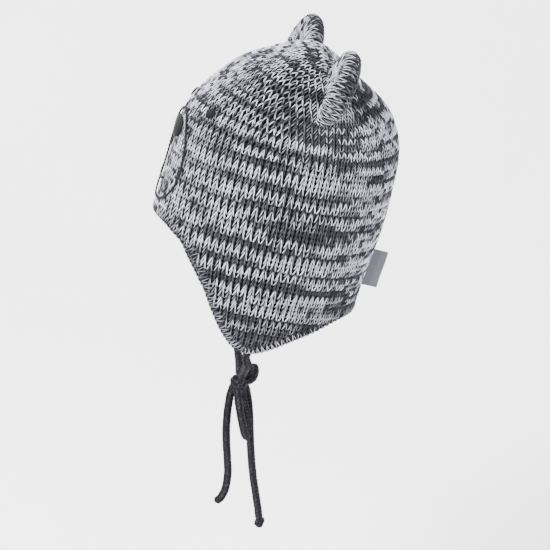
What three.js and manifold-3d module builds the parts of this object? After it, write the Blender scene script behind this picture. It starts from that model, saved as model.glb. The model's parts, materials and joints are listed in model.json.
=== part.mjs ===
// Baby hat with ears: a knitted helmet hat with two ear flaps, a bear's ears and face, and ties
// in a bow under the chin. Millimetres, +Z up, the face looks towards -Y, the wearer's left is +X.
// The origin is the middle of the head's hollow at the height of the brow.
import * as THREE from "three";
import { ParametricGeometry } from "three/addons/geometries/ParametricGeometry.js";
import { mergeVertices } from "three/addons/utils/BufferGeometryUtils.js";
import Module from "manifold-3d";

const wasm = await Module();
wasm.setup();

// ---- Driving dimensions -----------------------------------------------------------------------

const GAP = 0.3; // between pieces that touch
const TILT = THREE.MathUtils.degToRad(13); // the hat's axis leans back on the head
const WALL = 3.5; // the knitted wall
const BAND = { width: 6, thickness: 4.6, corner: 3 }; // the edging round the whole opening
const CAP_GRID = { columns: 60, rows: 22 };
const BAND_GRID = { steps: 96, around: 8 };

// A table with named columns becomes a list of objects, one for each row.
const table = (columns, rows) =>
  rows.map((row) => Object.fromEntries(columns.map((name, i) => [name, row[i]])));

// Level sections of the hat's outer face, square to its leaning axis, from the ends of the flaps
// to the crown. Each is two half ellipses that meet at its widest line, "middle".
const SECTIONS = table(
  ["level", "front", "middle", "back", "half_width"],
  [
    [-84, -60, 8, 60, 34],
    [-60, -70, 8, 63, 46],
    [-36, -76.5, 8, 64, 55],
    [-10, -80, 8, 65.5, 61.5],
    [18, -78, 8, 69, 64.5],
    [46, -76, 8, 69.5, 65.5],
    [72, -72, 8, 67.5, 62.5],
    [94, -57.5, 6, 56, 54],
    [112, -37, 3, 29, 37],
    [127, 0, 0, 0, 0],
  ],
);

// The lower edge of the hat, by the angle from the middle of the brow, in degrees: over the brow,
// down the cheek to the flap's end, and up behind it to the nape.
const RIM = table(
  ["angle", "level"],
  [
    [0, 0],
    [14, -1],
    [27, -5.5],
    [35, -11],
    [41, -18],
    [46, -27],
    [50, -38],
    [55, -50],
    [60, -60.5],
    [66, -69.5],
    [72, -74],
    [78, -74.5],
    [84, -71.5],
    [92, -64.8],
    [101, -58.5],
    [112, -52],
    [125, -45],
    [140, -41.3],
    [160, -41],
    [180, -41.5],
  ],
);

// The left ear: an oval cushion, cupped forwards, whose lower half the crown cuts off.
const EAR = {
  middle: new THREE.Vector3(43, 29.6, 95.5),
  along: new THREE.Vector3(0.64, -0.405, -0.65),
  up: new THREE.Vector3(0.45, 0.35, 0.82),
  halfWidth: 21,
  height: 35,
  halfThickness: 7.5,
  cup: 4,
  columns: 32,
  rows: 16,
};

// Embroidery, by its distance from the middle of the face and its level.
const EYE = { x: 26, level: 76, halfWidth: 3.5, halfHeight: 3.7, rise: 1.4 };
const NOSE = { x: -1, level: 59, halfWidth: 9, halfHeight: 7, rise: 1.6 };
const MUZZLE = { level: 41, halfWidth: 20.5, halfHeight: 30, narrowing: 0.18 };
const THREAD = { radius: 0.7, sides: 6 };
const LIP = table(
  ["x", "level"],
  [
    [-1.6, 51.2],
    [-2.4, 48.5],
    [-3.6, 45.5],
  ],
);
const MOUTH = table(
  ["x", "level"],
  [
    [-13, 27.5],
    [-9.5, 24.6],
    [-5.5, 23.3],
    [-2, 23.2],
    [1.2, 24.4],
  ],
);

// The folded ribbon label in the nape, standing straight out of the back.
const LABEL = { topLevel: -2, length: 25.5, reach: 15, thickness: 1.2 };

// Ties. Each route is the cord's centre line. All ends that meet the bow are cut off at its face.
const CORD = { diameter: 4.7, sides: 8 };
const TIE_ANGLE = 76.5; // where a tie leaves the rim, in degrees from the brow
const BOW = { middle: [0, -22.4, -104.6], half: [7, 6.4, 7.6] };
const TIE_LEFT = [
  [30.5, -23.4, -79.5],
  [20.5, -22.2, -86.6],
  [10, -21.2, -93.4],
  [2.5, -21, -101],
];
const TIE_RIGHT = [
  [-31, -17.8, -82.5],
  [-20.5, -18.6, -90.5],
  [-10, -20, -96.4],
  [-2.5, -21.6, -101],
];
const LONG_LOOP = [
  [4, -24.4, -107],
  [6.4, -24.2, -116],
  [8.4, -23, -126],
  [8.6, -21.4, -135],
  [6, -19.2, -141.6],
  [1.6, -17.2, -142.6],
  [-0.6, -16.6, -138.4],
  [-0.6, -17.4, -128],
  [0.2, -20, -117],
  [0.8, -21, -107],
];
const SHORT_LOOP = [
  [3, -19.5, -104],
  [5.4, -15, -101],
  [4.8, -12.6, -97],
  [0, -11.6, -95.4],
  [-4.4, -12.4, -97],
  [-4.8, -14.6, -100.4],
  [-2.6, -19.5, -103],
];
const TAIL_LEFT = [
  [-2, -25.4, -106],
  [-3.2, -28, -116],
  [-4, -29.8, -130],
  [-4.4, -30.4, -144],
  [-4.6, -29.8, -158],
  [-4.6, -29.4, -171],
  [-4.4, -31, -182],
  [-4.2, -34.4, -189],
  [-4, -38.8, -192],
];
const TAIL_RIGHT = [
  [-3.4, -18.8, -105],
  [-6.4, -15.4, -116],
  [-7.2, -13.8, -130],
  [-7.2, -13.4, -144],
  [-7.2, -12.8, -160],
  [-7, -11.6, -176],
  [-6.8, -9.8, -190],
  [-6.6, -8.2, -202],
  [-6.4, -7.4, -209],
];
const END_KNOT = { middle: [-6.4, -7, -213], half: [3, 3, 3.6] };

// ---- The hat's outer face ---------------------------------------------------------------------

// A smooth curve through a column of a table, where "at" runs from its first row to its last in
// the units of "key", or in whole rows with no key. "beyond" is a row after the last one.
function smooth(rows, column, at, key, beyond) {
  const place = (i) => (key ? rows[i][key] : i);
  const last = rows.length - 1;
  let i = 0;
  while (i < last - 1 && place(i + 1) <= at) i++;
  const slope = (k) => {
    if (k === last && beyond !== undefined) return (beyond - rows[last - 1][column]) / 2;
    const low = Math.max(0, k - 1);
    const high = Math.min(last, k + 1);
    return (rows[high][column] - rows[low][column]) / (place(high) - place(low));
  };
  const span = place(i + 1) - place(i);
  const t = (at - place(i)) / span;
  const a = rows[i][column];
  const b = rows[i + 1][column];
  const start = slope(i) * span;
  const end = slope(i + 1) * span;
  return (
    a * (2 * t ** 3 - 3 * t ** 2 + 1) +
    start * (t ** 3 - 2 * t ** 2 + t) +
    b * (3 * t ** 2 - 2 * t ** 3) +
    end * (t ** 3 - t ** 2)
  );
}

// The section at a rise of 0, the flaps' ends, to 1, the crown. Past the crown the curve goes down
// the far side, so front and back change places there and the crown is smooth.
function section(rise) {
  const at = rise * (SECTIONS.length - 1);
  const { level, front, back, half_width } = SECTIONS[SECTIONS.length - 2];
  return {
    level: smooth(SECTIONS, "level", at, null, level),
    front: smooth(SECTIONS, "front", at, null, back),
    middle: smooth(SECTIONS, "middle", at),
    back: smooth(SECTIONS, "back", at, null, front),
    halfWidth: smooth(SECTIONS, "half_width", at, null, -half_width),
  };
}

// The rise at which the hat has a level, by halving the range.
function riseAt(level) {
  let low = 0;
  let high = 1;
  for (let i = 0; i < 40; i++) {
    const half = (low + high) / 2;
    if (section(half).level < level) low = half;
    else high = half;
  }
  return (low + high) / 2;
}

// From the hat's own leaning frame to the part's frame.
const lean = (x, y, level) =>
  new THREE.Vector3(x, y, level).applyAxisAngle(new THREE.Vector3(1, 0, 0), -TILT);

// The right flap hangs further back than the left one by this much, less and less up to a level.
const RIGHT_FLAP = { back: 7.5, from: -5, full: -50 };

function outerPoint(angle, rise) {
  const s = section(rise);
  const ahead = Math.cos(angle);
  const rightwards = Math.max(0, -Math.sin(angle));
  const hang = 1 - THREE.MathUtils.smoothstep(s.level, RIGHT_FLAP.full, RIGHT_FLAP.from);
  const y = s.middle - ahead * (ahead > 0 ? s.middle - s.front : s.back - s.middle);
  const back = RIGHT_FLAP.back * rightwards ** 2 * hang;
  return lean(s.halfWidth * Math.sin(angle), y + back, s.level);
}

const STEP = 1e-4;
const slopeOf = (f, at) =>
  f(at + STEP).sub(f(at - STEP)).divideScalar(2 * STEP);
const roundwards = (angle, rise) => slopeOf((a) => outerPoint(a, rise), angle);
const upwards = (angle, rise) => slopeOf((r) => outerPoint(angle, r), Math.min(rise, 1 - STEP));

function outwardNormal(angle, rise) {
  if (rise > 0.998) return lean(0, 0, 1);
  return roundwards(angle, rise).cross(upwards(angle, rise)).normalize();
}

// A point "lift" outside the outer face, or inside it where lift is below zero.
const liftedPoint = (angle, rise, lift) =>
  outerPoint(angle, rise).addScaledVector(outwardNormal(angle, rise), lift);

// ---- The rim ----------------------------------------------------------------------------------

function rimRise(angle) {
  const degrees = Math.abs(THREE.MathUtils.radToDeg(angle));
  const fromBrow = Math.min(degrees % 360, 360 - (degrees % 360));
  return riseAt(smooth(RIM, "level", fromBrow, "angle"));
}

// The rim's point and its three directions: along it, out of the cloth, and into the cloth.
function rimFrame(angle) {
  const point = outerPoint(angle, rimRise(angle));
  const ahead = outerPoint(angle + 0.01, rimRise(angle + 0.01));
  const behind = outerPoint(angle - 0.01, rimRise(angle - 0.01));
  const along = ahead.sub(behind).normalize();
  const out = outwardNormal(angle, rimRise(angle));
  const inward = new THREE.Vector3().crossVectors(out, along).normalize();
  return { point, along, out, inward };
}

// Angles that divide the rim into equal lengths, so that a share of the way round has an angle.
const RIM_SAMPLES = 720;
const rimLengths = [0];
for (let i = 1; i <= RIM_SAMPLES; i++) {
  const from = ((i - 1) / RIM_SAMPLES) * 2 * Math.PI;
  const to = (i / RIM_SAMPLES) * 2 * Math.PI;
  const step = outerPoint(to, rimRise(to)).distanceTo(outerPoint(from, rimRise(from)));
  rimLengths.push(rimLengths[i - 1] + step);
}
function rimAngle(share) {
  const wanted = share * rimLengths[RIM_SAMPLES];
  let i = 1;
  while (i < RIM_SAMPLES && rimLengths[i] < wanted) i++;
  const part = (wanted - rimLengths[i - 1]) / (rimLengths[i] - rimLengths[i - 1]);
  return ((i - 1 + part) / RIM_SAMPLES) * 2 * Math.PI;
}

// The angle and rise of the point that lies "distance" inside the rim along the cloth.
function insideRim(angle, distance) {
  const rise = rimRise(angle);
  const step = rimFrame(angle).inward.multiplyScalar(distance);
  const round = roundwards(angle, rise);
  const up = upwards(angle, rise);
  const rr = round.dot(round);
  const ru = round.dot(up);
  const uu = up.dot(up);
  const det = rr * uu - ru * ru;
  return {
    angle: angle + (uu * step.dot(round) - ru * step.dot(up)) / det,
    rise: rise + (rr * step.dot(up) - ru * step.dot(round)) / det,
  };
}

// ---- Solids and meshes ------------------------------------------------------------------------

function asSolid(geometry) {
  const bare = geometry.clone();
  bare.deleteAttribute("normal");
  bare.deleteAttribute("uv");
  const merged = mergeVertices(bare, 1e-3);
  const vertProperties = merged.attributes.position.array;
  const triVerts = new Uint32Array(merged.index.array);
  return new wasm.Manifold(new wasm.Mesh({ numProp: 3, vertProperties, triVerts }));
}

function asGeometry(solid) {
  const { vertProperties, triVerts } = solid.getMesh();
  const geometry = new THREE.BufferGeometry();
  geometry.setAttribute("position", new THREE.BufferAttribute(vertProperties, 3));
  geometry.setIndex(new THREE.BufferAttribute(triVerts, 1));
  geometry.computeVertexNormals();
  return geometry;
}

const cutBy = (geometry, cutter) => asGeometry(asSolid(geometry).subtract(cutter));

const cloth = (color, roughness = 0.95) =>
  new THREE.MeshStandardMaterial({ color, roughness, metalness: 0 });
const LIGHT_YARN = "#9d9da6";
const TIE_YARN = "#3a393d";
const BLACK_THREAD = "#1c1c22";
const LABEL_RIBBON = "#6f6d7a";

const hat = new THREE.Group();
function add(name, geometry, material) {
  const mesh = new THREE.Mesh(geometry, material);
  mesh.name = name;
  hat.add(mesh);
}

// ---- Crown and flaps --------------------------------------------------------------------------

// The shell runs from the crown down its inner face, across the hem and up its outer face.
function capGeometry() {
  const { columns, rows } = CAP_GRID;
  const hems = Array.from({ length: columns + 1 }, (_, i) =>
    insideRim(rimAngle(i / columns), BAND.width + GAP),
  );
  const place = (u, down, lift) => {
    const hem = hems[Math.round(u * columns)];
    const even = u * 2 * Math.PI;
    const angle = even + (hem.angle - even) * down ** 2;
    return liftedPoint(angle, 1 + (hem.rise - 1) * down, lift);
  };
  const stacks = 2 * rows + 1;
  const surface = (u, v, target) => {
    const row = Math.round(v * stacks);
    const inside = row <= rows;
    const down = (inside ? row : stacks - row) / rows;
    target.copy(place(u, down, inside ? -WALL : 0));
  };
  return new ParametricGeometry(surface, columns, stacks);
}

// All that lies inside the outer face of the crown, and GAP more, to cut pieces that sit on it.
function insideOfCrown() {
  const columns = 96;
  const rows = 40;
  const lowest = 0.22;
  const surface = (u, v, target) => {
    const row = Math.round(v * (rows + 1));
    if (row === 0) target.copy(lean(0, 0, section(lowest).level));
    else {
      const rise = lowest + (1 - lowest) * ((row - 1) / rows);
      target.copy(liftedPoint(u * 2 * Math.PI, rise, GAP + 0.05));
    }
  };
  return asSolid(new ParametricGeometry(surface, columns, rows + 1));
}

// The edging is a soft-cornered bar that runs round the whole rim.
function bandGeometry() {
  const frames = Array.from({ length: BAND_GRID.steps }, (_, i) =>
    rimFrame(rimAngle(i / BAND_GRID.steps)),
  );
  const soft = (value) => Math.sign(value) * Math.abs(value) ** (2 / BAND.corner);
  const surface = (u, v, target) => {
    const { point, out, inward } = frames[Math.round(u * BAND_GRID.steps) % BAND_GRID.steps];
    const turn = (v + 0.5 / BAND_GRID.around) * 2 * Math.PI;
    const across = (BAND.width / 2) * (1 - soft(Math.cos(turn)));
    const through = -WALL / 2 + (BAND.thickness / 2) * soft(Math.sin(turn));
    target.copy(point).addScaledVector(inward, across).addScaledVector(out, through);
  };
  return new ParametricGeometry(surface, BAND_GRID.steps, BAND_GRID.around);
}

// ---- Ears -------------------------------------------------------------------------------------

function earGeometry(side) {
  const mirror = (v) => new THREE.Vector3(v.x * side, v.y, v.z);
  const middle = mirror(EAR.middle);
  const along = mirror(EAR.along).normalize();
  const up = mirror(EAR.up).normalize();
  const front = new THREE.Vector3().crossVectors(along, up).multiplyScalar(side).normalize();
  const surface = (u, v, target) => {
    const turn = u * 2 * Math.PI * side;
    const reach = Math.sin(v * Math.PI);
    const cushion = EAR.halfThickness * Math.cos(v * Math.PI);
    target
      .copy(middle)
      .addScaledVector(along, EAR.halfWidth * reach * Math.sin(turn))
      .addScaledVector(up, EAR.height * reach * Math.cos(turn))
      .addScaledVector(front, cushion + EAR.cup * reach ** 2);
  };
  return new ParametricGeometry(surface, EAR.columns, EAR.rows);
}

// ---- Embroidery -------------------------------------------------------------------------------

// A point on the face, by its distance from the middle and its level.
function facePoint(x, level, lift) {
  const rise = riseAt(level);
  return liftedPoint(Math.asin(x / section(rise).halfWidth), rise, lift);
}

// A low oval dome of satin stitches whose underside follows the knit.
function satinDome({ x, level, halfWidth, halfHeight, rise }) {
  const surface = (u, v, target) => {
    const turn = -u * 2 * Math.PI;
    const reach = Math.sin(v * Math.PI);
    const lift = GAP + rise * Math.max(0, Math.cos(v * Math.PI));
    const across = x + halfWidth * reach * Math.cos(turn);
    target.copy(facePoint(across, level + halfHeight * reach * Math.sin(turn), lift));
  };
  return new ParametricGeometry(surface, 18, 8);
}

const threadPoint = ({ x, level }) => facePoint(x, level, GAP + THREAD.radius);

// The outline of the muzzle is an egg, narrow end up.
function muzzleGeometry() {
  const turns = 36;
  const points = Array.from({ length: turns }, (_, i) => {
    const turn = (i / turns) * 2 * Math.PI;
    const narrow = 1 - MUZZLE.narrowing * Math.cos(turn);
    return threadPoint({
      x: MUZZLE.halfWidth * Math.sin(turn) * narrow,
      level: MUZZLE.level + MUZZLE.halfHeight * Math.cos(turn),
    });
  });
  const route = new THREE.CatmullRomCurve3(points, true);
  return new THREE.TubeGeometry(route, 2 * turns, THREAD.radius, THREAD.sides, true);
}

// ---- Cords ------------------------------------------------------------------------------------

function roundSection(radius, sides) {
  const corners = Array.from({ length: sides }, (_, i) => {
    const turn = (i / sides) * 2 * Math.PI;
    return new THREE.Vector2(radius * Math.cos(turn), radius * Math.sin(turn));
  });
  return new THREE.Shape(corners);
}

function tube(points, radius, sides, steps) {
  const options = { steps, extrudePath: new THREE.CatmullRomCurve3(points), bevelEnabled: false };
  return new THREE.ExtrudeGeometry(roundSection(radius, sides), options);
}

const vectors = (rows) => rows.map((row) => new THREE.Vector3(...row));
const cord = (points, steps) => tube(points, CORD.diameter / 2, CORD.sides, steps);

function oval({ middle, half }, grow = 0) {
  const scale = half.map((size) => size + grow);
  return new THREE.SphereGeometry(1, 20, 14).scale(...scale).translate(...middle);
}

// A tie leaves the lower face of the edging at the flap's end.
function tieStart(side) {
  const { point, out, inward } = rimFrame(side * THREE.MathUtils.degToRad(TIE_ANGLE));
  const end = point.clone().addScaledVector(out, -WALL / 2);
  return [GAP + 0.3, 4].map((down) => end.clone().addScaledVector(inward, -down));
}

// ---- Label ------------------------------------------------------------------------------------

// The label stands on the line down the middle of the back, square to the cloth.
function labelGeometry() {
  const top = outerPoint(Math.PI, riseAt(LABEL.topLevel));
  const bottom = outerPoint(Math.PI, riseAt(LABEL.topLevel - LABEL.length));
  const down = bottom.clone().sub(top).normalize();
  const sideways = new THREE.Vector3(1, 0, 0);
  const out = new THREE.Vector3().crossVectors(sideways, down).normalize();
  const buried = 2;
  const box = new THREE.BoxGeometry(LABEL.thickness, LABEL.reach + buried, LABEL.length);
  const middle = top
    .clone()
    .add(bottom)
    .divideScalar(2)
    .addScaledVector(out, (LABEL.reach - buried) / 2);
  const frame = new THREE.Matrix4().makeBasis(sideways, out, down.negate());
  return box.applyMatrix4(frame.setPosition(middle));
}

// ---- The assembly -----------------------------------------------------------------------------

const crown = insideOfCrown();
const bow = asSolid(oval(BOW, GAP));

add("knit_cap", capGeometry(), cloth(LIGHT_YARN));
add("edge_band", bandGeometry(), cloth(LIGHT_YARN));
for (const [name, side] of [
  ["ear_left", 1],
  ["ear_right", -1],
])
  add(name, cutBy(earGeometry(side), crown), cloth(LIGHT_YARN));

for (const [name, side] of [
  ["eye_left", 1],
  ["eye_right", -1],
])
  add(name, satinDome({ ...EYE, x: EYE.x * side }), cloth(BLACK_THREAD, 0.6));
add("nose", satinDome(NOSE), cloth(BLACK_THREAD, 0.6));
add("muzzle_line", muzzleGeometry(), cloth(BLACK_THREAD, 0.6));
for (const [name, rows, steps] of [
  ["lip_line", LIP, 6],
  ["mouth_line", MOUTH, 10],
])
  add(
    name,
    tube(rows.map(threadPoint), THREAD.radius, THREAD.sides, steps),
    cloth(BLACK_THREAD, 0.6),
  );

add("nape_label", cutBy(labelGeometry(), crown), cloth(LABEL_RIBBON, 0.7));

const cords = [
  ["tie_left", [...tieStart(1), ...vectors(TIE_LEFT)], 8],
  ["tie_right", [...tieStart(-1), ...vectors(TIE_RIGHT)], 8],
  ["loop_long", vectors(LONG_LOOP), 16],
  ["loop_short", vectors(SHORT_LOOP), 10],
  ["tail_left", vectors(TAIL_LEFT), 10],
  ["tail_right", vectors(TAIL_RIGHT), 10],
];
for (const [name, points, steps] of cords)
  add(name, cutBy(cord(points, steps), bow), cloth(TIE_YARN));
add("bow_knot", oval(BOW), cloth(TIE_YARN));
add("end_knot", oval(END_KNOT), cloth(TIE_YARN));

export default hat;
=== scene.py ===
# %% [markdown]
# # A baby hat with ears, knitted
#
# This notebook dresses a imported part, a baby's helmet hat, in its real cloth. The part already
# holds every size and place. What it lacks is the knit: thousands of V-shaped stitches of a
# two-ply yarn, one ply pale and one nearly black. A flat picture of knitting would look right
# from one side only, so here the stitches are real loops of yarn laid on the hat's own surface.

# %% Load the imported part
import json
import math

import bpy
import numpy as np
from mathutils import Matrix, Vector

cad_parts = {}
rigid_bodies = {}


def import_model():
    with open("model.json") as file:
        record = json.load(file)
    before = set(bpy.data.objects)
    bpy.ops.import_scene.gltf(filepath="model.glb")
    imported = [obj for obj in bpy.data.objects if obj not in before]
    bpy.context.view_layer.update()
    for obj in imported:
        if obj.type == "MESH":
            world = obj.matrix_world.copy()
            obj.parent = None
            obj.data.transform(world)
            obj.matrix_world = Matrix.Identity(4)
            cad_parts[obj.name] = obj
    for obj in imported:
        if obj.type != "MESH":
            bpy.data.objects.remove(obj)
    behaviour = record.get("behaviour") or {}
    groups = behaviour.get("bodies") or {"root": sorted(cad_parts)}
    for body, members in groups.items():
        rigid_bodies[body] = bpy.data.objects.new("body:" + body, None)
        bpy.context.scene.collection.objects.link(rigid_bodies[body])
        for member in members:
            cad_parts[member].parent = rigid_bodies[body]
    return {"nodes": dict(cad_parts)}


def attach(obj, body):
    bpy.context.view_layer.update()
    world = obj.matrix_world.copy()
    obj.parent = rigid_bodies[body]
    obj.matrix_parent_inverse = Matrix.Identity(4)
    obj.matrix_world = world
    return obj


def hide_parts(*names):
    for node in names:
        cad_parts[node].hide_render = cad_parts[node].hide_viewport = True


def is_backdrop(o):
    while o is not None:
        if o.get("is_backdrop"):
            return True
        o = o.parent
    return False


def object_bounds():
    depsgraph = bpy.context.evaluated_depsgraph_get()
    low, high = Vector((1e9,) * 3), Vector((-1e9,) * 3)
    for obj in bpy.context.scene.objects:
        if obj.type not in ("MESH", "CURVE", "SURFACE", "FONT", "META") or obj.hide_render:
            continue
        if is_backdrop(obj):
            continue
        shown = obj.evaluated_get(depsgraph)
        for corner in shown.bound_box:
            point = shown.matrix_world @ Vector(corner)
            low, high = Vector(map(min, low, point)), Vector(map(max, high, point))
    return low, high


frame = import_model()
cad_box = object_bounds()
MM = 0.001
print("pieces in the packed part:", len(frame["nodes"]))

# %% [markdown]
# ## Camera
#
# The hat is looked at from its left side, a little from the front and from above, with a long
# lens, as small goods are shown in a shop. The part's own origin is a little above the middle of
# the view, so the camera is turned to look below it.

# %% Camera
VIEW_TURN, VIEW_HEIGHT = math.radians(77), math.radians(19)
VIEW_DISTANCE = 1.6
VIEW_WIDE = 0.3571
AIM_RIGHT, AIM_DOWN = 0.00195, 0.0292
level_part = math.cos(VIEW_HEIGHT)
back = Vector((
    math.sin(VIEW_TURN) * level_part, -math.cos(VIEW_TURN) * level_part, math.sin(VIEW_HEIGHT)))
right = Vector((math.cos(VIEW_TURN), math.sin(VIEW_TURN), 0))
up = back.cross(right)
lens = bpy.data.cameras.new("hat_camera")
lens.sensor_width = 36
lens.lens = lens.sensor_width * VIEW_DISTANCE / VIEW_WIDE
camera = bpy.data.objects.new("hat_camera", lens)
bpy.context.scene.collection.objects.link(camera)
bpy.context.scene.camera = camera
camera.location = back * VIEW_DISTANCE
aim = right * AIM_RIGHT - up * AIM_DOWN
camera.rotation_euler = (camera.location - aim).to_track_quat("Z", "Y").to_euler()
print("lens:", round(lens.lens, 1), "mm")

# %% [markdown]
# ## Finishes as sums
#
# A node tree is a sum drawn as boxes and wires, and it soon grows hard to read. It could be built
# node by node, but a small class lets it be written as the sum it is: each operator on a wire
# adds the Math node that does it. A finish is then two short functions, one for the colour and
# one for the height of the bump.

# %% A class for sums on sockets


class Wire:
    """A socket of a node tree that can stand in a Python expression."""

    def __init__(self, tree, socket=None):
        self.tree = tree
        self.socket = socket

    def node(self, kind, settings=(), sockets=(), output=0):
        made = self.tree.nodes.new(kind)
        for name, setting in dict(settings).items():
            setattr(made, name, setting)
        for name, value in dict(sockets).items():
            if isinstance(value, Wire):
                self.tree.links.new(value.socket, made.inputs[name])
            else:
                made.inputs[name].default_value = value
        return Wire(self.tree, made.outputs[output])

    def math(self, operation, *values):
        return self.node("ShaderNodeMath", {"operation": operation}, dict(enumerate(values)))

    def __add__(self, other):
        return self.math("ADD", self, other)

    def __sub__(self, other):
        return self.math("SUBTRACT", self, other)

    def __rsub__(self, other):
        return self.math("SUBTRACT", other, self)

    def __mul__(self, other):
        return self.math("MULTIPLY", self, other)

    __radd__ = __add__
    __rmul__ = __mul__

    def wave(self):
        return self.math("SINE", self * (2 * math.pi))

    def between(self, low, high):
        limits = {"Value": self, "From Min": low, "From Max": high}
        return self.node("ShaderNodeMapRange", {"interpolation_type": "SMOOTHSTEP"}, limits)

    def blend(self, first, second):
        colours = {0: self, 6: first, 7: second}
        return self.node("ShaderNodeMix", {"data_type": "RGBA"}, colours, output=2)

    def attribute(self, name):
        return self.node("ShaderNodeAttribute", {"attribute_name": name}, output=2)

    def uv(self, name):
        place = self.node("ShaderNodeUVMap", {"uv_map": name})
        split = self.node("ShaderNodeSeparateXYZ", (), {0: place})
        return split, Wire(self.tree, split.socket.node.outputs[1])

    def noise(self, scale, detail=2.0):
        place = self.node("ShaderNodeTexCoord", output=3)
        return self.node("ShaderNodeTexNoise", (), {"Vector": place, "Scale": scale, "Detail": detail})


CLOTH_SPECULAR = 0.12


def finish_of(name, colour, roughness, height=None, depth=MM):
    """A material whose colour and bump come from functions that are given a wire to start from."""
    material = bpy.data.materials.new(name)
    material.use_nodes = True
    tree = material.node_tree
    shader = tree.nodes["Principled BSDF"]
    start = Wire(tree)
    shader.inputs["Roughness"].default_value = roughness
    shader.inputs["Specular IOR Level"].default_value = CLOTH_SPECULAR
    tree.links.new(colour(start).socket, shader.inputs["Base Color"])
    if height:
        bump = start.node("ShaderNodeBump", (), {"Height": height(start), "Distance": depth})
        tree.links.new(bump.socket, shader.inputs["Normal"])
    return material


print("a wire can be added, subtracted and multiplied")

# %% [markdown]
# ## Light
#
# Goods like this are lit softly from all round, so that every stitch shows and nothing glares.
# A pale sky gives most of the light. Three broad lamps add the shade between the legs of the
# stitches: one in front and above, one at the side, and a weak one on the far side.


# %% Lamps and sky
def lamp(name, place, size, power):
    light = bpy.data.lights.new(name, "AREA")
    light.shape = "DISK"
    light.size = size
    light.energy = power
    holder = bpy.data.objects.new(name, light)
    bpy.context.scene.collection.objects.link(holder)
    holder.location = place
    holder.rotation_euler = Vector(place).to_track_quat("Z", "Y").to_euler()


lamp("front_lamp", (1.1, -1.4, 1.7), 0.9, 200)
lamp("side_lamp", (1.9, 1.2, 1.1), 1.0, 70)
lamp("far_lamp", (-1.7, -0.6, 1.6), 1.2, 80)
world = bpy.data.worlds.new("pale_sky")
bpy.context.scene.world = world
world.use_nodes = True
sky = world.node_tree.nodes["Background"].inputs
sky["Color"].default_value = (1, 1, 1, 1)
sky["Strength"].default_value = 1.8
print("lamps:", len(bpy.data.lights))

# %% [markdown]
# ## Floor
#
# The floor lies well under the ties and curves up behind the hat as one sheet of pale paper, so
# no corner shows. A plane and a wall would need their corner rounded. Two long rows of points on
# one profile give the curve at once, and smooth shading hides its few faces.


# %% Sheet of paper
def new_piece(name, points, faces, finish=None):
    mesh = bpy.data.meshes.new(name)
    mesh.from_pydata([tuple(p) for p in points], [], faces)
    mesh.polygons.foreach_set("use_smooth", [True] * len(mesh.polygons))
    if finish:
        mesh.materials.append(finish)
    piece = bpy.data.objects.new(name, mesh)
    bpy.context.scene.collection.objects.link(piece)
    return piece


def paper_grain(start):
    return start.noise(3).between(0.3, 0.7).blend((0.90, 0.90, 0.90, 1), (0.93, 0.93, 0.93, 1))


FLOOR_LEVEL = -0.36
FLOOR_NEAR, FLOOR_FAR, CURVE, WALL_TOP = -2.4, 0.9, 0.7, 3.2
FLOOR_HALF_WIDTH = 3.5
sweep = [(FLOOR_NEAR, 0.0), (FLOOR_FAR, 0.0)]
for i in range(1, 13):
    turn = math.radians(90 * i / 12)
    sweep.append((FLOOR_FAR + CURVE * math.sin(turn), CURVE * (1 - math.cos(turn))))
sweep.append((FLOOR_FAR + CURVE, WALL_TOP))
floor_points = []
for reach, rise in sweep:
    spot = Vector((-math.sin(VIEW_TURN), math.cos(VIEW_TURN), 0)) * reach
    for side in (-FLOOR_HALF_WIDTH, FLOOR_HALF_WIDTH):
        floor_points.append(spot + right * side + Vector((0, 0, FLOOR_LEVEL + rise)))
floor_faces = [(2 * i, 2 * i + 1, 2 * i + 3, 2 * i + 2) for i in range(len(sweep) - 1)]
floor = new_piece("floor", floor_points, floor_faces, finish_of("pale_paper", paper_grain, 0.9))
floor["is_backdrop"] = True
print("floor lies", round(-FLOOR_LEVEL, 2), "m under the origin")

# %% [markdown]
# ## Ties
#
# The ties are narrow knitted cords, soft and heavy enough to hang straight. They come first,
# because everything else hangs round them. Each route is the cord's centre line, in millimetres
# times MM. A curve object could carry it, but the tube's skin is worked out point by point, so
# the route is a table and the smooth line through it is worked out too.

# %% Routes of the cords
CORD = 4.7 * MM
BOW = MM * np.array([0, -22.4, -104.6])
TIE_LEFT = MM * np.array(
    [[36.8, -24.9, -68.8], [34.4, -25.3, -73.7], [30.5, -23.4, -79.5], [20.5, -22.2, -86.6],
     [10, -21.2, -93.4], [2.5, -21, -101]])
TIE_RIGHT = MM * np.array(
    [[-36.8, -18, -70.4], [-34.4, -18.4, -75.2], [-31, -17.8, -82.5], [-20.5, -18.6, -90.5],
     [-10, -20, -96.4], [-2.5, -21.6, -101]])
LONG_LOOP = MM * np.array(
    [[4, -24.4, -107], [6.4, -24.2, -116], [8.4, -23, -126], [8.6, -21.4, -135], [6, -19.2, -141.6],
     [1.6, -17.2, -142.6], [-0.6, -16.6, -138.4], [-0.6, -17.4, -128], [0.2, -20, -117],
     [0.8, -21, -107]])
SHORT_LOOP = MM * np.array(
    [[3, -19.5, -104], [5.4, -15, -101], [4.8, -12.6, -97], [0, -11.6, -95.4], [-4.4, -12.4, -97],
     [-4.8, -14.6, -100.4], [-2.6, -19.5, -103]])
TAIL_LEFT = MM * np.array(
    [[-2, -25.4, -106], [-3.2, -28, -116], [-4, -29.8, -130], [-4.4, -30.4, -144],
     [-4.6, -29.8, -158], [-4.6, -29.4, -171], [-4.4, -31, -182], [-4.2, -34.4, -189],
     [-4, -38.8, -192]])
TAIL_RIGHT = MM * np.array(
    [[-3.4, -18.8, -105], [-6.4, -15.4, -116], [-7.2, -13.8, -130], [-7.2, -13.4, -144],
     [-7.2, -12.8, -160], [-7, -11.6, -176], [-6.8, -9.8, -190], [-6.6, -8.2, -202],
     [-6.4, -7.4, -210.5]])
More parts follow.
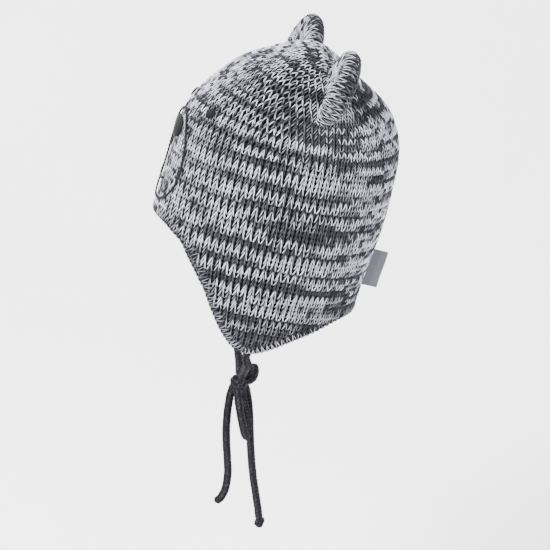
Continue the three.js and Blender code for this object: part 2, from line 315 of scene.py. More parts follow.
print("points on the longest tail's route:", len(TAIL_RIGHT))


# %% The smooth line through a route
def distances(points):
    """How far along a path each of its points lies."""
    return np.concatenate([[0], np.cumsum(np.linalg.norm(np.diff(points, axis=0), axis=1))])


def unit(vectors):
    return vectors / np.maximum(np.linalg.norm(vectors, axis=-1, keepdims=True), 1e-12)


def along_route(points, step, closed=False):
    """Points a step apart on the smooth curve through a route."""
    ring = np.vstack([points[-1], points, points[0], points[1]])
    open_ends = np.vstack([2 * points[0] - points[1], points, 2 * points[-1] - points[-2]])
    knots = ring if closed else open_ends
    fine = []
    for a, b, c, d in zip(knots, knots[1:], knots[2:], knots[3:]):
        for t in np.arange(0, 1, 0.05):
            bend = (2 * a - 5 * b + 4 * c - d) * t**2 + (3 * b - a - 3 * c + d) * t**3
            fine.append(0.5 * (2 * b + (c - a) * t + bend))
    fine.append(knots[-2])
    fine = np.array(fine)
    far = distances(fine)
    count = max(8, int(round(far[-1] / step)))
    marks = np.linspace(0, far[-1], count + 1)
    if closed:
        marks = marks[:-1]
    return np.stack([np.interp(marks, far, fine[:, k]) for k in range(3)], axis=1), far[-1]


print("the left tie's line is", round(along_route(TIE_LEFT, MM)[1] / MM, 1), "mm long")

# %% [markdown]
# ## A knitted cord
#
# A plain tube with a noise would look like rubber. A knitted cord has five wales round it, and
# each wale is a column of Vs. So the tube's rings are close together, and its skin is raised in
# chevrons between valleys. How high each point stands is kept as an attribute, and the finish
# reads it: the valleys are painted nearly black as shade, and only the high parts take the pale
# flecks of wear, so their paleness is partly wear and partly painted light.

# %% A knitted cord
CORD_SIDES = 20
CORD_WALES = 5
CORD_COURSE = 2.6 * MM
CORD_RING_STEP = 0.5 * MM
CORD_RELIEF = 0.95 * MM


def ring_faces(rings, sides, closed=False, first=0):
    """Four-sided faces between rings of points, each ring joined to the next."""
    faces = []
    for i in range(rings if closed else rings - 1):
        low, high = first + i * sides, first + (i + 1) % rings * sides
        for j in range(sides):
            k = (j + 1) % sides
            faces.append((low + j, low + k, high + k, high + j))
    return faces


def knitted_tube(name, route, finish, radius, closed=False):
    """A tube along a route whose skin is raised in the chevrons of a knitted cord."""
    centres, length = along_route(route, CORD_RING_STEP, closed)
    after = np.roll(centres, -1, axis=0)
    before = np.roll(centres, 1, axis=0)
    if not closed:
        after[-1], before[0] = centres[-1], centres[0]
    forward = unit(after - before)
    side = np.zeros_like(forward)
    last = unit(np.cross(forward[0], [0.2, 0.3, 0.9]))
    for i, ahead in enumerate(forward):
        last = unit(last - ahead * (last @ ahead))
        side[i] = last
    other = np.cross(forward, side)
    count = len(centres)
    turn = np.arange(CORD_SIDES) / CORD_SIDES
    along = np.arange(count)[:, None] * (length / max(1, count - (not closed))) / CORD_COURSE
    wale = (turn[None] * CORD_WALES) % 1
    chevron = 0.5 + 0.5 * np.cos(2 * np.pi * (along + 0.9 * np.abs(2 * wale - 1)))
    valley = np.sin(np.pi * wale) ** 0.5
    raised = (chevron * valley - 0.45) * CORD_RELIEF
    ends = np.ones(count)
    if not closed:
        to_end = np.minimum(np.arange(count), np.arange(count)[::-1]) * CORD_RING_STEP
        ends = np.sqrt(np.clip(1 - (1 - np.clip(to_end / radius, 0, 1)) ** 2, 0.02, 1))
    reach = (radius + raised) * ends[:, None]
    spin = 2 * np.pi * turn[None, :, None]
    ring = np.cos(spin) * side[:, None] + np.sin(spin) * other[:, None]
    points = (centres[:, None] + ring * reach[..., None]).reshape(-1, 3)
    faces = ring_faces(count, CORD_SIDES, closed)
    if not closed:
        faces.append(tuple(reversed(range(CORD_SIDES))))
        faces.append(tuple((count - 1) * CORD_SIDES + j for j in range(CORD_SIDES)))
    piece = new_piece(name, points, faces, finish)
    light = piece.data.attributes.new("chevron", "FLOAT", "POINT")
    light.data.foreach_set("value", (chevron * valley).astype(np.float32).ravel())
    return piece, centres, length


def charcoal(start):
    worn = start.noise(900, 3).between(0.35, 0.75)
    # Painted shade and light: the chevron height keeps the valleys nearly black, and the wear flecks
    # pale only the raised parts.
    high = start.attribute("chevron").between(0.25, 1.0)
    fleck = start.noise(420, 1).between(0.5, 0.62) * 0.5
    return (high * worn + fleck * high).blend((0.004, 0.004, 0.005, 1), (0.075, 0.073, 0.082, 1))


def cord_fibres(start):
    return start.noise(1600, 2)


TIE_RADIUS = CORD * 0.54
tie_finish = finish_of("charcoal_cord", charcoal, 0.95, cord_fibres, 0.25 * MM)
cords = {}
for name, route in [
    ("tie_left", TIE_LEFT),
    ("tie_right", TIE_RIGHT),
    ("loop_long", LONG_LOOP),
    ("loop_short", SHORT_LOOP),
    ("tail_left", TAIL_LEFT),
    ("tail_right", TAIL_RIGHT),
]:
    cords[name] = knitted_tube("cord_" + name, route, tie_finish, TIE_RADIUS)
    print(name, round(cords[name][2] / MM, 1), "mm long")

# %% [markdown]
# ## The knots
#
# The bow's knot is the cord itself, wound round the crossing. A ball would read as a bead,
# so the knot is three turns of the same tube lying over each other. The end knot is one tight
# turn round the tail's end.


# %% Wind the knots
def turn_of_cord(middle, size, tip, swing, wobble):
    """A closed ring of cord round a middle. Size is its two half widths."""
    spin = np.linspace(0, 2 * np.pi, 12, endpoint=False)
    wave = wobble * np.sin(2 * spin)
    flat = np.stack([size[0] * np.cos(spin), size[1] * np.sin(spin), wave], axis=1)
    c, s = math.cos(tip), math.sin(tip)
    tipped = np.array([[1, 0, 0], [0, c, -s], [0, s, c]])
    c, s = math.cos(swing), math.sin(swing)
    swung = np.array([[c, -s, 0], [s, c, 0], [0, 0, 1]])
    return middle + flat @ tipped.T @ swung.T


BOW_TURNS = [
    ((0, 0, 1.6), (3.6, 3.4), 0.35, 0.3),
    ((0, -0.4, -2.2), (3.4, 3.4), -0.3, 0.2),
    ((0.2, 0.3, -0.4), (3.2, 4.2), 1.35, 0.5),
]
bow_turns = []
for i, (shift, size, tip, swing) in enumerate(BOW_TURNS):
    ring = turn_of_cord(BOW + MM * np.array(shift), MM * np.array(size), tip, swing, 0.5 * MM)
    turn, _, _ = knitted_tube(f"bow_turn_{i}", ring, tie_finish, CORD / 2, closed=True)
    bow_turns.append(turn)
end_middle = MM * np.array([-6.4, -7.2, -211.4])
end_ring = turn_of_cord(end_middle, MM * np.array([1.7, 1.9]), 0.9, 0.2, 0.2 * MM)
end_turn, _, _ = knitted_tube("tail_end_turn", end_ring, tie_finish, 2.1 * MM, closed=True)
print("turns in the bow:", len(bow_turns))

# %% [markdown]
# ## The hat's outer face
#
# The part's shape comes from a short table of level sections, each two half ellipses, on an axis
# that leans back on the head. The same table is repeated here, because the stitches have to lie
# on that face. A smooth curve runs through each column, and past the crown the curve goes down
# the far side, so the top is smooth.

# %% Sections and rim, in millimetres
TILT = math.radians(13)
SECTION_COLUMNS = ("level", "front", "middle", "back", "half_width")
SECTIONS = np.array(
    [
        [-84, -60, 8, 60, 34],
        [-60, -70, 8, 63, 46],
        [-36, -76.5, 8, 64, 55],
        [-10, -80, 8, 65.5, 61.5],
        [18, -78, 8, 69, 64.5],
        [46, -76, 8, 69.5, 65.5],
        [72, -72, 8, 67.5, 62.5],
        [94, -57.5, 6, 56, 54],
        [112, -37, 3, 29, 37],
        [127, 0, 0, 0, 0],
    ],
    float,
)
RIM = np.array(
    [
        [0, 0], [14, -1], [27, -5.5], [35, -11], [41, -18], [46, -27], [50, -38], [55, -50],
        [60, -60.5], [66, -69.5], [72, -74], [78, -74.5], [84, -71.5], [92, -64.8], [101, -58.5],
        [112, -52], [125, -45], [140, -41.3], [160, -41], [180, -41.5],
    ],
    float,
)
RIGHT_FLAP_BACK, RIGHT_FLAP_FROM, RIGHT_FLAP_FULL = 7.5, -5.0, -50.0
print("sections:", len(SECTIONS), "and points on half the rim:", len(RIM))

# %% [markdown]
# ## From the table to points
#
# A face could be lofted once as a mesh and the stitches dropped on it, but then each stitch would
# sit on a flat facet. Here the face is a function instead: an angle and a rise give a point, its
# normal, and the ways round and up, as exact for the smallest stitch as for the whole hat.


# %% Points and normals on the outer face
def ease(share):
    return share * share * (3 - 2 * share)


def depth_of(ahead, front, middle, back_edge):
    return np.where(ahead, middle - front, back_edge - middle)


def smooth(place, value, at, beyond=None):
    """The smooth curve through values at places."""
    last = len(place) - 1
    slope = np.empty(last + 1)
    for k in range(last + 1):
        low, high = max(0, k - 1), min(last, k + 1)
        slope[k] = (value[high] - value[low]) / (place[high] - place[low])
    if beyond is not None:
        slope[last] = (beyond - value[last - 1]) / 2
    i = np.clip(np.searchsorted(place, at, side="right") - 1, 0, last - 1)
    span = place[i + 1] - place[i]
    t = (at - place[i]) / span
    out = value[i] * (2 * t**3 - 3 * t**2 + 1) + value[i + 1] * (3 * t**2 - 2 * t**3)
    return out + span * (slope[i] * (t**3 - 2 * t**2 + t) + slope[i + 1] * (t**3 - t**2))


def section(rise):
    rows = np.arange(len(SECTIONS), dtype=float)
    before = dict(zip(SECTION_COLUMNS, SECTIONS[-2]))
    beyond = (before["level"], before["back"], None, before["front"], -before["half_width"])
    at = np.asarray(rise, float) * rows[-1]
    return [smooth(rows, SECTIONS[:, k], at, beyond[k]) for k in range(len(SECTION_COLUMNS))]


def lean(x, y, level):
    c, s = math.cos(TILT), math.sin(TILT)
    return np.stack([x, y * c + level * s, level * c - y * s], axis=-1)


def hat_point(angle, rise):
    """The outer face at an angle from the brow and a rise from the flaps' ends to the crown."""
    level, front, middle, back_edge, half = section(rise)
    ahead = np.cos(angle)
    y = middle - ahead * depth_of(ahead > 0, front, middle, back_edge)
    hang = np.clip((level - RIGHT_FLAP_FULL) / (RIGHT_FLAP_FROM - RIGHT_FLAP_FULL), 0, 1)
    hang = 1 - ease(hang)
    y = y + RIGHT_FLAP_BACK * np.maximum(0, -np.sin(angle)) ** 2 * hang
    return lean(half * np.sin(angle), y, level)


TINY = 1e-4


def hat_slopes(angle, rise):
    """How the outer face moves with the angle and with the rise, and its outward normal."""
    angle, rise = np.broadcast_arrays(np.asarray(angle, float), np.asarray(rise, float))
    high = np.minimum(rise, 1 - TINY)
    around = (hat_point(angle + TINY, high) - hat_point(angle - TINY, high)) / (2 * TINY)
    upward = (hat_point(angle, high + TINY) - hat_point(angle, high - TINY)) / (2 * TINY)
    normal = unit(np.cross(around, upward))
    normal[rise > 0.998] = lean(0.0, 0.0, 1.0)
    return around, upward, normal


print("the crown's top:", np.round(hat_point(0.0, 1.0), 1), "mm")

# %% [markdown]
# ## The way round the rim
#
# The rim is given as the level of the edge at each angle. The edging's stitches have to be evenly
# spaced along it, so its length is measured in small steps, and any share of the way round gives
# a point and three directions.

# %% Measure the rim
FINE_RISE = np.linspace(0, 1, 4001)
FINE_LEVEL = section(FINE_RISE)[0]


def rise_at(level):
    return np.interp(level, FINE_LEVEL, FINE_RISE)


def rim_rise(angle):
    degrees = np.degrees(np.abs(angle)) % 360
    return rise_at(smooth(RIM[:, 0], RIM[:, 1], np.minimum(degrees, 360 - degrees)))


RIM_TURNS = np.linspace(0, 2 * np.pi, 1441)
RIM_POINTS = hat_point(RIM_TURNS, rim_rise(RIM_TURNS))
RIM_LENGTHS = distances(RIM_POINTS)


def rim_frame(share):
    """At shares of the way round the rim: its point, and the ways along, out of and into the cloth."""
    angle = np.interp(np.asarray(share) * RIM_LENGTHS[-1], RIM_LENGTHS, RIM_TURNS)
    point = hat_point(angle, rim_rise(angle))
    ahead = hat_point(angle + 0.01, rim_rise(angle + 0.01))
    along = unit(ahead - hat_point(angle - 0.01, rim_rise(angle - 0.01)))
    out = hat_slopes(angle, rim_rise(angle))[2]
    return angle, point, along, out, unit(np.cross(out, along))


print("the rim is", round(RIM_LENGTHS[-1]), "mm long")

# %% [markdown]
# ## Courses over the crown
#
# A machine knits the hat in rounds, called courses, and the stitches stand over each other in
# columns, called wales. Round the head a course is a level ring. The crown is closed like the
# toe of a sock: the rings narrow at their two sides and end in a ridge from ear to ear, so the
# front's wales run straight up to that ridge, and the back's come up to meet them. Each course is
# worked out as seen from above, then dropped on the hat's face.

# %% Course lines
WALE, COURSE, CROWN_COURSE = 4.6, 3.3, 3.1
RIDGE = 27.0  # half the length of the closing ridge
CLOSING = 62.0  # the level where the narrowing starts
rng = np.random.default_rng(11)
closing_rise = float(rise_at(CLOSING))
closing_half = float(section(closing_rise)[4])


def path_lengths(angle):
    return distances(hat_point(np.full(len(FINE_RISE), angle), FINE_RISE))


side_far = path_lengths(np.pi / 2)
front_far = path_lengths(0.0)
low_part = np.arange(0, np.interp(closing_rise, FINE_RISE, side_far), COURSE)
course_rises = np.interp(low_part, side_far, FINE_RISE)
first_high = np.interp(course_rises[-1], FINE_RISE, front_far) + CROWN_COURSE
high_part = np.arange(first_high, front_far[-1] - 1.0, CROWN_COURSE)
course_rises = np.concatenate([course_rises, np.interp(high_part, front_far, FINE_RISE)])
COURSES = len(course_rises)
print("courses from the flaps' ends to the ridge:", COURSES)


# %% A course on the face
def on_course(rise, turn):
    """The angle and rise on the hat's face of a course, at turns round it from the brow."""
    turn = np.asarray(turn, float)
    rise = np.broadcast_to(np.asarray(rise, float), turn.shape)
    if rise.max() <= closing_rise:
        return turn, rise
    _, front, middle, back_edge, half = section(rise)
    x = (half + RIDGE * (1 - np.minimum(1, half / closing_half))) * np.sin(turn)
    y = middle - np.cos(turn) * depth_of(np.cos(turn) > 0, front, middle, back_edge)
    low, high = np.full(turn.shape, closing_rise - 0.12), np.full(turn.shape, 0.9995)
    for _ in range(22):
        guess = (low + high) / 2
        _, front, middle, back_edge, half = section(guess)
        depth = depth_of(y < middle, front, middle, back_edge)
        inside = (x / half) ** 2 + ((y - middle) / depth) ** 2 < 1
        low, high = np.where(inside, guess, low), np.where(inside, high, guess)
    _, front, middle, back_edge, half = section(low)
    depth = depth_of(y < middle, front, middle, back_edge)
    return np.arctan2(x / half, (middle - y) / depth) % (2 * np.pi), low


def course_line(rise, turn):
    return hat_point(*on_course(rise, turn))


middle_course = course_line(course_rises[COURSES // 2], np.linspace(0, 2 * np.pi, 481))
print("the middle course is", round(distances(middle_course)[-1]), "mm round")

# %% [markdown]
# ## Streaks in the yarn
#
# The yarn was dyed in lengths, so dark and pale stretches run along the courses and never line
# up from one course to the next. Painting them on would cut through the stitches, so each stitch
# gets one tone of its own. Three noises that are stretched round the hat make the tones: one that
# changes every second course, one that changes every course, and one in short stretches. The
# face is knitted from a paler stretch, and the tone is made darker by height towards the flaps'
# ends.


# %% Dark streaks along the courses
streak_knots = rng.random((COURSES + 4, 8))
rng.random(COURSES + 4)  # passed over, so that every draw below keeps its place
short_knots = rng.random((COURSES + 4, 29))
STREAK_FROM, STREAK_FADE = 0.42, 0.24
FACE_PALER, FLAP_DARKER = 0.75, 0.85


def around_noise(knots, rows, angle):
    count = knots.shape[1]
    place = (np.asarray(angle) / (2 * np.pi) % 1) * count
    low = place.astype(int) % count
    part = ease(place - np.floor(place))
    return knots[rows, low] * (1 - part) + knots[rows, (low + 1) % count] * part


def streaks(course, angle, points):
    """How dark the yarn is at a stitch: 0 is pale, 1 is dark."""
    course = course.astype(int)
    pair = course // 2
    value = 0.34 * around_noise(streak_knots, pair, angle) + 0.07 * np.cos(np.pi * pair)
    value = value + 0.30 * around_noise(streak_knots[::-1], course, angle)
    value = value + 0.18 * around_noise(short_knots, course, angle)
    value = value + 0.18 * rng.random(len(value))
    dark = ease(np.clip((value - STREAK_FROM) / STREAK_FADE, 0, 1))
    face = np.exp(-((points[:, 0] / 42) ** 2) - ((points[:, 2] - 62) / 34) ** 2) * (points[:, 1] < -20)
    # Darker towards the flaps' ends, more so the lower a stitch lies under the level -42 mm.
    flap = np.clip((-42 - points[:, 2]) / 14, 0, 1)
    return np.clip(dark * (1 - FACE_PALER * face) + FLAP_DARKER * flap, 0, 1)


print("long streaks in a round:", streak_knots.shape[1], "short ones:", short_knots.shape[1])

# %% [markdown]
# ## Places of the stitches
#
# A stitch needs a point, the way out of the cloth, the way up its wale, its size and its shade.
# Up to the closing every course has the same number of stitches, so the wales run straight up.
# Above it each quarter of a course loses stitches as it gets shorter, as a machine narrows a
# toe. Stitches past the rim or under the edging are left out.


# %% Every stitch of the hat
QUARTER_WALES = 24
QUARTER_STEPS = 120
STITCH_DEPTH = 0.75
EDGE_CLEAR = 4.4


def places(at, out, up, size, shade):
    """What the laying tree needs of each strand, in metres."""
    count = len(at)
    return {
        "at": at * MM, "out": unit(out), "up": unit(up), "size": size,
        "shade": shade, "twist": rng.random(count),
    }


def quarter_widths(rise):
    """The lengths of a course's four quarters, and its lengths at fine turns."""
    turns = np.linspace(0, 2 * np.pi, 4 * QUARTER_STEPS + 1)
    far = distances(course_line(rise, turns))
    return np.diff(far[::QUARTER_STEPS]), far, turns


def stitches_on_hat():
    """The places of all stitches, and their angles from the brow."""
    full = quarter_widths(closing_rise)[0] / QUARTER_WALES
    rows = []
    for course, rise in enumerate(course_rises):
        widths, far, turns = quarter_widths(rise)
        for quarter, width in enumerate(widths):
            count = max(1, int(round(width / full[quarter])))
            count = QUARTER_WALES if rise <= closing_rise else count
            marks = far[QUARTER_STEPS * quarter] + (np.arange(count) + 0.5) / count * width
            turn = np.interp(marks, far, turns)
            ones = np.ones(count)
            rows.append(np.stack([course * ones, turn, rise * ones, width / count * ones], axis=1))
    course, turn, rise, wide = np.vstack(rows).T
    spots, nexts, befores, afters = [], [], [], []
    step = np.gradient(course_rises)
    for k in range(COURSES):
        chosen = course == k
        spots.append(np.stack(on_course(course_rises[k], turn[chosen]), axis=1))
        nexts.append(course_line(min(0.9995, course_rises[k] + step[k]), turn[chosen]))
        befores.append(course_line(course_rises[k], turn[chosen] - 0.004))
        afters.append(course_line(course_rises[k], turn[chosen] + 0.004))
    angle, face_rise = np.vstack(spots).T
    at = hat_point(angle, face_rise)
    normal = hat_slopes(angle, face_rise)[2]
    around = unit(np.vstack(afters) - np.vstack(befores))
    upward = unit(np.cross(normal, around))
    tall = np.einsum("ij,ij->i", np.vstack(nexts) - at, upward)
    to_rim = np.array([np.linalg.norm(RIM_POINTS - p, axis=1).min() for p in at])
    keep = (face_rise > rim_rise(angle)) & (to_rim > EDGE_CLEAR)
    size = np.stack([wide / WALE, np.clip(tall, 2.3, 4.8) / COURSE, np.ones(len(at))], axis=1)
    shade = streaks(course, turn, at)
    slant = 0.06 * np.sin(2 * turn) - 0.04 * np.sin(turn)
    made = places(at - normal * STITCH_DEPTH, normal, upward + around * slant[:, None], size, shade)
    return {name: value[keep] for name, value in made.items()}, angle[keep]


hat_places, hat_angles = stitches_on_hat()
print("stitches on the hat:", len(hat_angles))

# %% [markdown]
# ## One stitch
#
# A stitch of plain knitting shows as a V. Each leg comes out from under the V below, swells over
# the face of the cloth and dives behind the V above. One leg is a tube of six sides with rounded
# ends, a few dozen faces, and the second stands beside it as its mirror image. The leg
# keeps a UV map of how far along and how far round the yarn a point is, for the twist of the ply.

# %% Model the stitch
YARN = 0.43
LEG_RINGS = 6
LEG_SIDES = 6


def leg_line(t, side, wide, tall):
    """The middle of one leg: from under the stitch below, over the face, behind the one above."""
    x = side * wide * (0.07 + 0.40 * t**0.9)
    y = tall * (-0.85 + 2.0 * t)
    z = 1.8 * (np.sin(np.pi * (0.14 + 0.76 * t)) - 0.64)
    return np.stack([x, y, z], axis=-1)


def make_strand(name, lines, radius, sides=LEG_SIDES):
    """Tubes with rounded ends along lines, as one mesh that other pieces are made of."""
    points, faces, uvs = [], [], []
    for line in lines:
        base = len(points)
        count = len(line)
        t = np.linspace(0, 1, count)
        forward = unit(np.gradient(line, axis=0))
        side = unit(np.cross(forward, [0.0, 0.0, 1.0]))
        top = np.cross(side, forward)
        thick = radius * np.sqrt(np.clip(1 - (2 * t - 1) ** 4, 0.04, 1))
        for i in range(count):
            for j in range(sides):
                spin = 2 * np.pi * (j / sides - 0.25)
                points.append(line[i] + thick[i] * (math.cos(spin) * side[i] + math.sin(spin) * top[i]))
        faces += [(a, d, c, b) for a, b, c, d in ring_faces(count, sides, first=base)]
        for i in range(count - 1):
            for j in range(sides):
                uvs += [(j / sides, t[i]), (j / sides, t[i + 1]),
                        ((j + 1) / sides, t[i + 1]), ((j + 1) / sides, t[i])]
        faces.append(tuple(base + j for j in range(sides)))
        uvs += [(0.5, 0.0)] * sides
        faces.append(tuple(base + (count - 1) * sides + j for j in reversed(range(sides))))
        uvs += [(0.5, 1.0)] * sides
    strand = new_piece(name, np.array(points) * MM, faces)
    layer = strand.data.uv_layers.new(name="ply")
    layer.data.foreach_set("uv", np.array(uvs, np.float32).ravel())
    return strand


steps = np.linspace(0, 1, LEG_RINGS)
both_legs = [leg_line(steps, side, WALE, COURSE) for side in (-1, 1)]
stitch = make_strand("stitch", both_legs, YARN)
print("faces in a stitch:", len(stitch.data.polygons))

# %% [markdown]
# ## Lay the stitches with Geometry Nodes
#
# One tree serves every piece that is made of many small strands. It takes a cloud of points, puts
# a strand on each, turned by the point's own directions and stretched by its own size, varies
# each a little with a fixed seed, and makes the copies real. The shade and the twist of each
# point stay with its strand as attributes, so that the material can read them.


# %% The tree that lays strands
def laying_tree():
    tree = bpy.data.node_groups.new("lay_strands", "GeometryNodeTree")
    tree.is_modifier = True
    for name, kind in [("Places", "Geometry"), ("Strand", "Object"), ("Width", "Float"),
                       ("Length", "Float"), ("Thickness", "Float"), ("Unevenness", "Float"),
                       ("Seed", "Int"), ("Finish", "Material")]:
        tree.interface.new_socket(name, in_out="INPUT", socket_type="NodeSocket" + kind)
    tree.interface.new_socket("Cloth", in_out="OUTPUT", socket_type="NodeSocketGeometry")
    entry = tree.nodes.new("NodeGroupInput")
    given = {socket.name: Wire(tree, socket) for socket in entry.outputs if socket.name}
    start = Wire(tree)

    def named(name):
        vector = {"data_type": "FLOAT_VECTOR"}
        return start.node("GeometryNodeInputNamedAttribute", vector, {"Name": name})

    def vectors(operation, sockets):
        return start.node("ShaderNodeVectorMath", {"operation": operation}, sockets)

    facing = {"primary_axis": "Z", "secondary_axis": "Y"}
    turned = start.node("FunctionNodeAxesToRotation", facing, {0: named("out"), 1: named("up")})
    spread = {0: (-1, -1, -1), 1: (1, 1, 1), "Seed": given["Seed"]}
    wobble = start.node("FunctionNodeRandomValue", {"data_type": "FLOAT_VECTOR"}, spread)
    wobble = vectors("SCALE", {0: wobble, "Scale": given["Unevenness"]})
    wobble = vectors("ADD", {0: wobble, 1: (1, 1, 1)})
    sizes = {0: given["Width"], 1: given["Length"], 2: given["Thickness"]}
    sizes = start.node("ShaderNodeCombineXYZ", (), sizes)
    size = vectors("MULTIPLY", {0: named("size"), 1: sizes})
    size = vectors("MULTIPLY", {0: size, 1: wobble})
    own_axes = {"transform_space": "ORIGINAL"}
    strand = start.node("GeometryNodeObjectInfo", own_axes, {"Object": given["Strand"]}, output=4)
    laid = start.node("GeometryNodeInstanceOnPoints", (), {
        "Points": given["Places"], "Instance": strand, "Rotation": turned, "Scale": size})
    real = start.node("GeometryNodeRealizeInstances", (), {0: laid})
    real = start.node("GeometryNodeSetMaterial", (), {"Geometry": real, "Material": given["Finish"]})
    end = tree.nodes.new("NodeGroupOutput")
    tree.links.new(real.socket, end.inputs["Cloth"])
    return tree


lay_strands = laying_tree()
print("nodes in the tree:", len(lay_strands.nodes))

# %% [markdown]
# ## From a tree to a piece
#
# A piece starts as a cloud of points that carry their directions, size and shade. The tree is its
# modifier for a moment, with every input set first. The result becomes the piece's own plain
# mesh and the modifier goes, because only real faces leave the script.

# %% Lay a piece
POINT_VALUES = [
    ("out", "FLOAT_VECTOR", "vector"), ("up", "FLOAT_VECTOR", "vector"),
    ("size", "FLOAT_VECTOR", "vector"), ("shade", "FLOAT", "value"), ("twist", "FLOAT", "value"),
]


def lay(name, where, strand, finish, uneven=0.06, seed=1):
    """A piece of many strands, one at each place."""
    cloud = bpy.data.meshes.new(name)
    cloud.vertices.add(len(where["at"]))
    cloud.vertices.foreach_set("co", where["at"].astype(np.float32).ravel())
    for key, kind, field in POINT_VALUES:
        values = where[key].astype(np.float32).ravel()
        cloud.attributes.new(key, kind, "POINT").data.foreach_set(field, values)
    piece = bpy.data.objects.new(name, cloud)
    bpy.context.scene.collection.objects.link(piece)
    layer = piece.modifiers.new("lay", "NODES")
    layer.node_group = lay_strands
    values = {"Strand": strand, "Width": 1.0, "Length": 1.0, "Thickness": 1.0,
              "Unevenness": uneven, "Seed": seed, "Finish": finish}
    for socket in lay_strands.interface.items_tree:
        if socket.name in values:
            layer[socket.identifier] = values[socket.name]
    ready = piece.evaluated_get(bpy.context.evaluated_depsgraph_get())
    mesh = bpy.data.meshes.new_from_object(ready)
    piece.modifiers.clear()
    piece.data = mesh
    mesh.polygons.foreach_set("use_smooth", [True] * len(mesh.polygons))
    mesh.update()
    print(name, "has", len(where["at"]), "strands and", len(mesh.polygons), "faces")
    return piece


# %% [markdown]
# ## The yarn
#
# The yarn is a mouline: a pale ply and a dark ply twisted together. On the leg's own UV map the
# plies are a slanting wave, and the twist of each stitch moves the wave on, so some legs show
# their pale side and some the dark one. The shade tips the balance in the dark streaks. The
# groove between the plies and the fine hairs are bump.

# %% Yarn finish
PALE_PLY = (0.72, 0.72, 0.83, 1)
DARK_PLY = (0.021, 0.0208, 0.026, 1)
PLY_SWING, DARK_BIAS, STREAK_PULL = 0.9, 0.4, 0.8


def ply_wave(start):
    around, along = start.uv("ply")
    return (around + along * 0.3 + start.attribute("twist") * 0.5 + 0.35).wave()


def yarn_colour(start):
    shade = start.attribute("shade")
    pale = (ply_wave(start) * PLY_SWING - DARK_BIAS - shade * STREAK_PULL).between(-0.5, 0.5)
    hairs = start.noise(1500, 2).between(0.2, 0.8) * 0.35 + 0.65
    uneven = start.math("FRACT", start.attribute("twist") * 7.3) * 0.42 + 0.58
    return (pale * hairs * uneven * (1 - shade * 0.2)).blend(DARK_PLY, PALE_PLY)


def yarn_height(start):
    around, along = start.uv("ply")
    groove = ((around + along * 0.8 + start.attribute("twist")) * 2).wave()
    return groove * 0.5 + start.noise(2200, 2)


yarn = finish_of("mouline_yarn", yarn_colour, 0.9, yarn_height, 0.25 * MM)

print("yarn finish has", len(yarn.node_tree.nodes), "nodes")

# %% [markdown]
# ## The knitted wall
#
# One piece with every stitch of the hat would be too heavy a mesh to hand on. So the wall is laid
# in six panels, cut between wales from the rim to the ridge: front, back and two on each side.
# The stitches are the same ones, so no seam shows between panels.

# %% Lay the hat's stitches, a panel at a time
PANELS = {
    "front": (-45, 45), "left_front": (45, 90), "left_back": (90, 135),
    "back": (135, 225), "right_back": (225, 270), "right_front": (270, 315),
}
knit_pieces = []
degrees = (np.degrees(hat_angles) + 45) % 360 - 45
for name, (low, high) in PANELS.items():
    chosen = (degrees >= low) & (degrees < high)
    part = {key: value[chosen] for key, value in hat_places.items()}
    knit_pieces.append(lay("knit_" + name, part, stitch, yarn))

# %% [markdown]
# ## Behind the stitches
#
# Between the legs of the stitches the eye looks into the cloth, where hardly any light comes
# back. A shell a little under the face is painted near-black as that shade, and closes the hat.
# Its inner face is the back of the knit, which shows as rows of small arcs and not as Vs. They
# are raised in the mesh itself, because the inside is seen close to from below, and their grooves
# are painted darker as shade.


# %% A closed shell with the back of the knit inside
def turned_in(faces):
    return [face[::-1] for face in faces]


def cap_fan(top, columns, pole):
    """Triangles from a ring of points, whose first is top, to a pole."""
    return [(top + i, top + (i + 1) % columns, pole) for i in range(columns)]


OUTER_DEPTH, INNER_DEPTH, PURL_RELIEF = 2.3, 3.3, 0.35


def hat_shell():
    """Points, faces and tones of the shell between the stitches and the head, with painted shade."""
    columns, outer_rows, inner_rows = 288, 30, 170
    angle = np.arange(columns) * 2 * np.pi / columns
    hem = rim_rise(angle) + 0.012

    def layer(rows, lift_of):
        spread = np.linspace(0, 1, rows + 1)[:-1, None]
        rise = hem[None] + (1 - hem[None]) * spread
        turn = np.broadcast_to(angle[None], rise.shape)
        at = hat_point(turn, rise)
        normal = hat_slopes(turn.ravel(), rise.ravel())[2].reshape(at.shape)
        far = np.interp(rise, FINE_RISE, side_far)
        lift, tone = lift_of(turn, rise, far)
        return (at + normal * lift[..., None]).reshape(-1, 3), tone.ravel()

    def purl(turn, rise, far):
        fade = np.clip((0.93 - rise) / 0.08, 0, 1)
        row = far / COURSE + 0.25 * np.cos(turn * 96) * fade
        relief = np.cos(2 * np.pi * row)
        lift = -INNER_DEPTH - PURL_RELIEF * (relief + 1) * 0.5
        # The tone paints shade in the purl grooves: they come out darker than the raised arcs.
        return lift, 0.35 + 0.65 * (0.5 + 0.5 * relief)

    def plain(turn, rise, far):
        # Tone 0: the outer side is painted near-black, as the shade between the stitches.
        return np.full(rise.shape, -OUTER_DEPTH), rise * 0

    outer, _ = layer(outer_rows, plain)
    inner, tone = layer(inner_rows, purl)
    top = hat_point(0.0, 1.0)
    top_out, top_in = top + lean(0, 0, -OUTER_DEPTH), top + lean(0, 0, -3.4)
    points = np.vstack([outer, inner, [top_out], [top_in]])
    first = len(outer)
    faces = ring_faces(outer_rows, columns)
    faces += turned_in(ring_faces(inner_rows, columns, first=first))
    faces += cap_fan(first - columns, columns, len(points) - 2)
    faces += turned_in(cap_fan(len(points) - 2 - columns, columns, len(points) - 1))
    for i in range(columns):
        k = (i + 1) % columns
        faces.append((k, i, first + i, first + k))
    return points, faces, np.concatenate([outer[:, 0] * 0, tone, [0, 0.6]])


